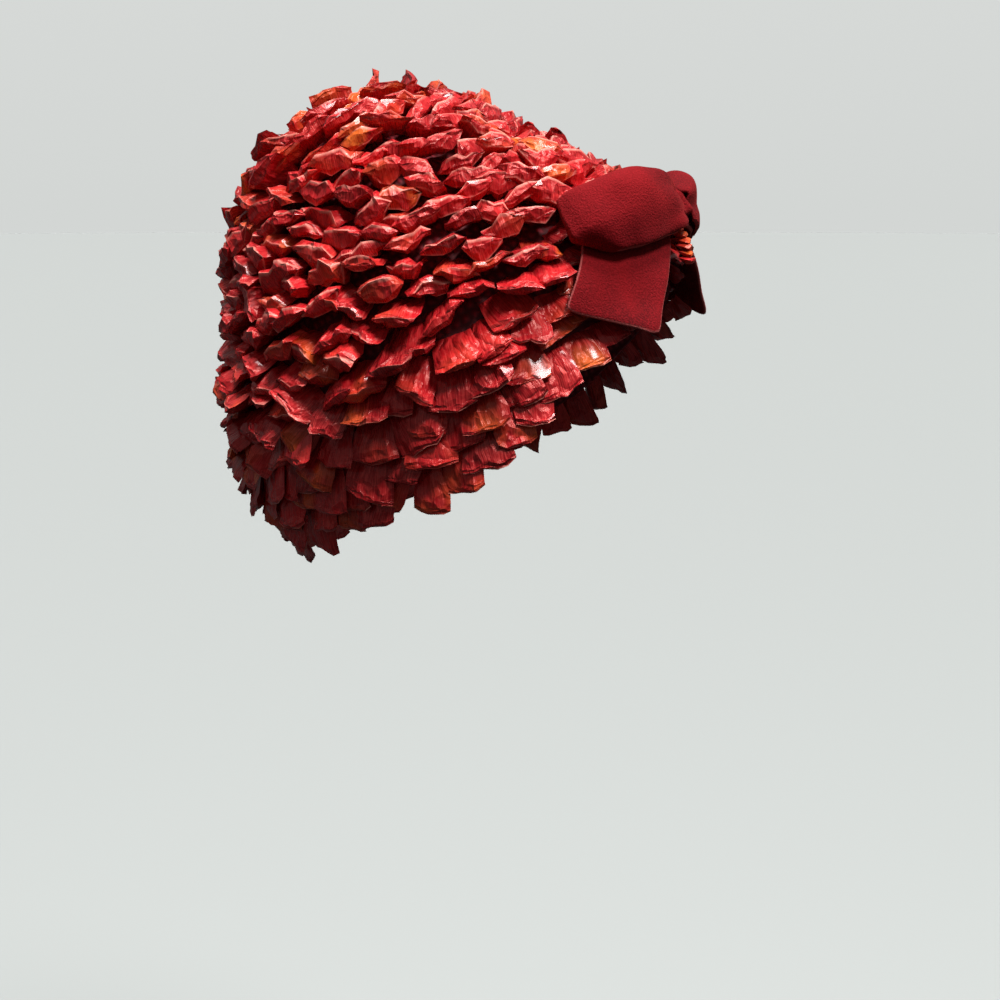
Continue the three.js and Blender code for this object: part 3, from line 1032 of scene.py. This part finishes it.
def woven_straw():
    """Straw cloth woven from flat strips, dyed dark red and steamed to shape.

    Matt, with strips about 2 mm wide round the cap and up it.
    """
    made, tree = new_material("straw_cloth_woven")
    place = add_node(tree, "ShaderNodeTexCoord").outputs["Object"]
    upright = add_node(
        tree, "ShaderNodeMapping", Vector=place, Rotation=(0, AXIS_TILT, 0)
    ).outputs[0]
    split = add_node(tree, "ShaderNodeSeparateXYZ", Vector=upright)
    turn = add_node(
        tree, "ShaderNodeMath", {"operation": "ARCTAN2"}, i0=split.outputs[1], i1=split.outputs[0]
    ).outputs[0]
    around = add_node(tree, "ShaderNodeMath", TIMES, i0=turn, i1=MEAN_RADIUS).outputs[0]
    flat = add_node(
        tree, "ShaderNodeCombineXYZ", X=around, Y=split.outputs[2], Z=0.0
    ).outputs[0]
    scale = math.tau / WAVE_RADIANS * METRE / STRIP_PITCH
    weave, cross = [
        add_node(
            tree, "ShaderNodeTexWave", {"bands_direction": way}, Vector=flat, Scale=scale
        ).outputs[1]
        for way in ("X", "Y")
    ]
    strips = add_node(tree, "ShaderNodeMath", TIMES, i0=weave, i1=cross).outputs[0]
    colour = add_node(
        tree, "ShaderNodeMix", COLOURS, i0=strips, i6=from_hex("58080E"), i7=from_hex("981828")
    ).outputs[2]
    bump = add_node(
        tree, "ShaderNodeBump", Strength=0.6, Distance=0.0008, Height=strips
    ).outputs[0]
    shader = add_node(
        tree, "ShaderNodeBsdfPrincipled", Base_Color=colour, Roughness=0.7, Normal=bump
    ).outputs[0]
    add_node(tree, "ShaderNodeOutputMaterial", Surface=shader)
    return made


def painted_floor():
    """A plain pale painted floor, matt."""
    made, tree = new_material("floor_pale_matt")
    shader = add_node(
        tree, "ShaderNodeBsdfPrincipled", Base_Color=from_hex("A6A9A7"), Roughness=0.9
    ).outputs[0]
    add_node(tree, "ShaderNodeOutputMaterial", Surface=shader)
    return made


# The photograph's view of the cap: azimuth and elevation of the camera, how far it is from the origin's
# depth, the scale there, and the pixel where the origin shows in a frame of 1000 by 1000
CAMERA_AZIMUTH = math.radians(19)
CAMERA_ELEVATION = math.radians(12)
CAMERA_DISTANCE = 0.56
METRES_PER_PIXEL = 0.000405
ORIGIN_PIXEL = (335, 147)
FRAME_PIXELS = 1000


def make_camera():
    look = Vector(
        (
            -math.sin(CAMERA_AZIMUTH) * math.cos(CAMERA_ELEVATION),
            math.cos(CAMERA_AZIMUTH) * math.cos(CAMERA_ELEVATION),
            -math.sin(CAMERA_ELEVATION),
        )
    )
    right = Vector((math.cos(CAMERA_AZIMUTH), math.sin(CAMERA_AZIMUTH), 0))
    up = right.cross(look)
    focal = CAMERA_DISTANCE / METRES_PER_PIXEL
    aside = right * (ORIGIN_PIXEL[0] - FRAME_PIXELS / 2)
    above = up * (FRAME_PIXELS / 2 - ORIGIN_PIXEL[1])
    data = bpy.data.cameras.new("camera")
    data.lens = focal / FRAME_PIXELS * data.sensor_width
    data.clip_start = 0.01
    data.clip_end = 100
    camera = bpy.data.objects.new("camera", data)
    camera.location = -(look + (aside + above) / focal) * CAMERA_DISTANCE
    camera.rotation_mode = "QUATERNION"
    camera.rotation_quaternion = Matrix((right, up, -look)).transposed().to_quaternion()
    bpy.context.scene.collection.objects.link(camera)
    bpy.context.scene.camera = camera


# Lamps: name, kind, place that it shines from, softness (degrees or metres) and strength
LAMPS = [
    ("daylight", "SUN", (0.1, -0.06, 1.0), 20, 4.7),
    ("window", "AREA", (0.46, -0.26, 0.56), 0.14, 5.4),
]
LIT_POINT = Vector((0.04, 0, -0.05))
FLOOR_HEIGHT = -0.75
FLOOR_RADIUS = 40


def add_lamp(name, kind, place, softness, strength):
    data = bpy.data.lights.new(name, kind)
    data.energy = strength
    if kind == "SUN":
        data.angle = math.radians(softness)
    else:
        data.size = softness
    lamp = bpy.data.objects.new(name, data)
    lamp.location = place
    lamp.rotation_mode = "QUATERNION"
    lamp.rotation_quaternion = (LIT_POINT - Vector(place)).to_track_quat("-Z", "Y")
    bpy.context.scene.collection.objects.link(lamp)


def pale_surroundings():
    """A pale backdrop. The light that it gives is dimmer than it looks, and comes mostly from above."""
    world = bpy.data.worlds.new("studio")
    world.use_nodes = True
    tree = world.node_tree
    tree.nodes.clear()
    way = add_node(tree, "ShaderNodeTexCoord").outputs["Generated"]
    height = add_node(tree, "ShaderNodeSeparateXYZ", Vector=way).outputs[2]
    above = add_node(
        tree, "ShaderNodeMapRange", Value=height, From_Min=-0.1, From_Max=0.6
    ).outputs[0]
    given = add_node(
        tree, "ShaderNodeMix", COLOURS, i0=above, i6=from_hex("464545"), i7=from_hex("8C8E8D")
    ).outputs[2]
    higher = add_node(
        tree, "ShaderNodeMapRange", Value=height, From_Min=0.0, From_Max=0.5
    ).outputs[0]
    shown = add_node(
        tree, "ShaderNodeMix", COLOURS, i0=higher, i6=from_hex("D3D6D4"), i7=from_hex("DEE0DE")
    ).outputs[2]
    seen = add_node(tree, "ShaderNodeLightPath").outputs["Is Camera Ray"]
    colour = add_node(tree, "ShaderNodeMix", COLOURS, i0=seen, i6=given, i7=shown).outputs[2]
    shine = add_node(tree, "ShaderNodeBackground", Color=colour, Strength=1.0).outputs[0]
    add_node(tree, "ShaderNodeOutputWorld", Surface=shine)
    bpy.context.scene.world = world
    bpy.context.scene.view_settings.view_transform = "Standard"


def make_floor():
    """A plain floor that gives no light back, so that the cap's underside stays dark."""
    mesh = bmesh.new()
    bmesh.ops.create_circle(mesh, cap_ends=True, segments=96, radius=FLOOR_RADIUS)
    bmesh.ops.translate(mesh, vec=(0, 0, FLOOR_HEIGHT), verts=mesh.verts)
    data = bpy.data.meshes.new("floor")
    mesh.to_mesh(data)
    mesh.free()
    floor = bpy.data.objects.new("floor", data)
    floor.data.materials.append(painted_floor())
    floor.visible_diffuse = False
    floor.visible_glossy = False
    bpy.context.scene.collection.objects.link(floor)


def make_studio():
    for lamp in LAMPS:
        add_lamp(*lamp)
    pale_surroundings()
    make_floor()


def dress_cap():
    raffia = glossy_raffia()
    velvet = plush_velvet()
    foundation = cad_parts["cap_foundation"]
    foundation.data.materials.clear()
    foundation.data.materials.append(woven_straw())
    for index in range(ROW_COUNT):
        raffia_row(index, raffia)
    crown_rosette(raffia)
    knot_piece(velvet)
    knot_ruffle(raffia)
    for side, hand in ((-1, "right"), (1, "left")):
        wing_piece(side, f"bow_band_{hand}", velvet, f"bow_loop_{hand}")
        tail_piece(side, f"bow_end_{hand}", velvet, f"bow_tail_{hand}")


make_camera()
make_studio()
dress_cap()
